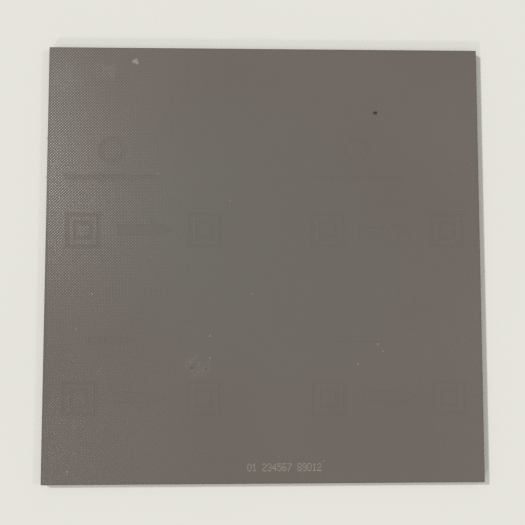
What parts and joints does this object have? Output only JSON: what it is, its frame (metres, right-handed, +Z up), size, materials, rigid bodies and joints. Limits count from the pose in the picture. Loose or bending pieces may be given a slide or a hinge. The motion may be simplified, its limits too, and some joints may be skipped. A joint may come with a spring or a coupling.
{
  "type": "carpet tile",
  "caption": "Square loop-pile carpet tile lying pile down, with its moulded plastic back up, ready to be laid on a level floor.",
  "frame": {"origin": "middle of the tile at the floor, under the tips of the loops", "axes": "+X along the rows of loops and along the pile-direction arrow, +Y across the rows, +Z up out of the moulded back"},
  "size_m": [0.5, 0.5, 0.0065],
  "materials": {
    "backing_plastic": "soft grey-brown moulded back, satin, with a fine diamond emboss",
    "cloth": "thin pale cloth, seen only as a line at the cut sides",
    "pile_yarn": "charcoal level-loop pile with a slight fleck, matte"
  },
  "bodies": {
    "root": {"backing": "backing_plastic", "primary_cloth": "cloth", "loop_pile": "pile_yarn"}
  },
  "joints": []
}
